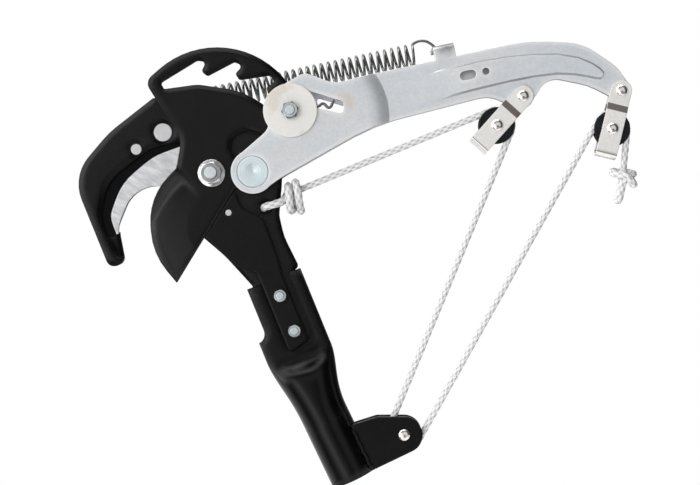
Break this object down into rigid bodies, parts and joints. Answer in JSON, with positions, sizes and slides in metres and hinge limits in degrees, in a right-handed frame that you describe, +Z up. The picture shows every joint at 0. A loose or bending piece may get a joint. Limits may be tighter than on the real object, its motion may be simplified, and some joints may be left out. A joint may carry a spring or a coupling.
{
  "type": "tree pruner head",
  "caption": "Pole-mounted ratchet pruner head: hooked counter blade, swinging blade with ratchet notches, spring-returned lever, cord tackle with sheaves, and a flattened pole socket.",
  "frame": {"origin": "centre of the pole socket's mouth", "axes": "+Z up along the pole, +X to the lever's side, +Y away from the blade's front face"},
  "size_m": [0.363, 0.0457, 0.3023],
  "materials": {
    "black_coat": "fine satin black powder coat",
    "tube_coat": "glossy black coat",
    "ground_steel": "bright ground steel",
    "zinc": "bright zinc plate, bluish white",
    "nickel": "bright nickel plate",
    "spring_steel": "dark drawn spring wire",
    "black_plastic": "moulded black plastic",
    "white_cord": "white diamond-braided cord"
  },
  "bodies": {
    "frame": {"socket_tube": "tube_coat", "cord_bracket": "black_coat", "bracket_axle": "nickel", "hook_frame": "black_coat", "counter_blade": "ground_steel", "counter_rivets": "ground_steel", "stop_plate": "black_coat", "stop_rivet": "ground_steel", "neck_bolts": "zinc", "neck_nuts": "zinc", "spring_post": "zinc", "blade_bush": "ground_steel", "blade_bolt": "zinc", "blade_flange_nut": "zinc", "lever_pin": "zinc", "lever_pin_collar": "zinc", "return_spring": "spring_steel", "pull_cord": "white_cord", "anchor_knot": "white_cord", "end_knot": "white_cord"},
    "blade": {"blade": "black_coat"},
    "lever": {"lever_front_plate": "zinc", "lever_rear_plate": "zinc", "pawl_spring": "spring_steel", "inner_swivel_rivet": "nickel", "outer_swivel_rivet": "nickel"},
    "pawl": {"pawl_bolt": "zinc", "pawl_sleeve": "ground_steel", "pawl_front_washer": "nickel", "pawl_rear_washer": "nickel", "pawl_nut": "zinc"},
    "inner_block": {"inner_block_strap": "nickel", "inner_block_axle": "nickel"},
    "inner_sheave": {"inner_sheave": "black_plastic"},
    "outer_block": {"outer_block_strap": "nickel", "outer_block_axle": "nickel"},
    "outer_sheave": {"outer_sheave": "black_plastic"},
    "lower_sheave": {"lower_sheave": "black_plastic"}
  },
  "joints": [
    {"name": "lever_pivot", "type": "hinge", "parent": "frame", "child": "lever", "pos_m": [0.027, -0.0021, 0.2115], "axis": [0, 1, 0], "range_deg": [0, 52], "stiffness_Nm_per_rad": 5, "springref_deg": -22.92, "deforming": ["return_spring", "pull_cord", "end_knot", "anchor_knot"]},
    {"name": "blade_pivot", "type": "hinge", "parent": "frame", "child": "blade", "pos_m": [0.002, -0.0052, 0.2225], "axis": [0, 1, 0], "range_deg": [0, 36]},
    {"name": "pawl_slide", "type": "slide", "parent": "lever", "child": "pawl", "axis": [-0.8398, 0, -0.5429], "range_m": [0, 0.0136]},
    {"name": "inner_block_swivel", "type": "hinge", "parent": "lever", "child": "inner_block", "pos_m": [0.2096, -0.0021, 0.1798], "axis": [0, 1, 0], "range_deg": [-12, 0]},
    {"name": "inner_sheave_turn", "type": "hinge", "parent": "inner_block", "child": "inner_sheave", "pos_m": [0.18563, -0.0021, 0.16972], "axis": [0, 1, 0], "continuous": true},
    {"name": "outer_block_swivel", "type": "hinge", "parent": "lever", "child": "outer_block", "pos_m": [0.2698, -0.0021, 0.1549], "axis": [0, 1, 0], "range_deg": [-29, 0]},
    {"name": "outer_sheave_turn", "type": "hinge", "parent": "outer_block", "child": "outer_sheave", "pos_m": [0.25333, -0.0021, 0.13478], "axis": [0, 1, 0], "continuous": true},
    {"name": "lower_sheave_turn", "type": "hinge", "parent": "frame", "child": "lower_sheave", "pos_m": [0.042, -0.0021, 0.012], "axis": [0, 1, 0], "continuous": true}
  ],
  "couplings": [
    {"joint": "blade_pivot", "follows": "lever_pivot", "ratio": 0.69},
    {"joint": "pawl_slide", "follows": "lever_pivot", "m_per_rad": 0.0149},
    {"joint": "inner_block_swivel", "follows": "lever_pivot", "ratio": -0.22},
    {"joint": "outer_block_swivel", "follows": "lever_pivot", "ratio": -0.55}
  ]
}
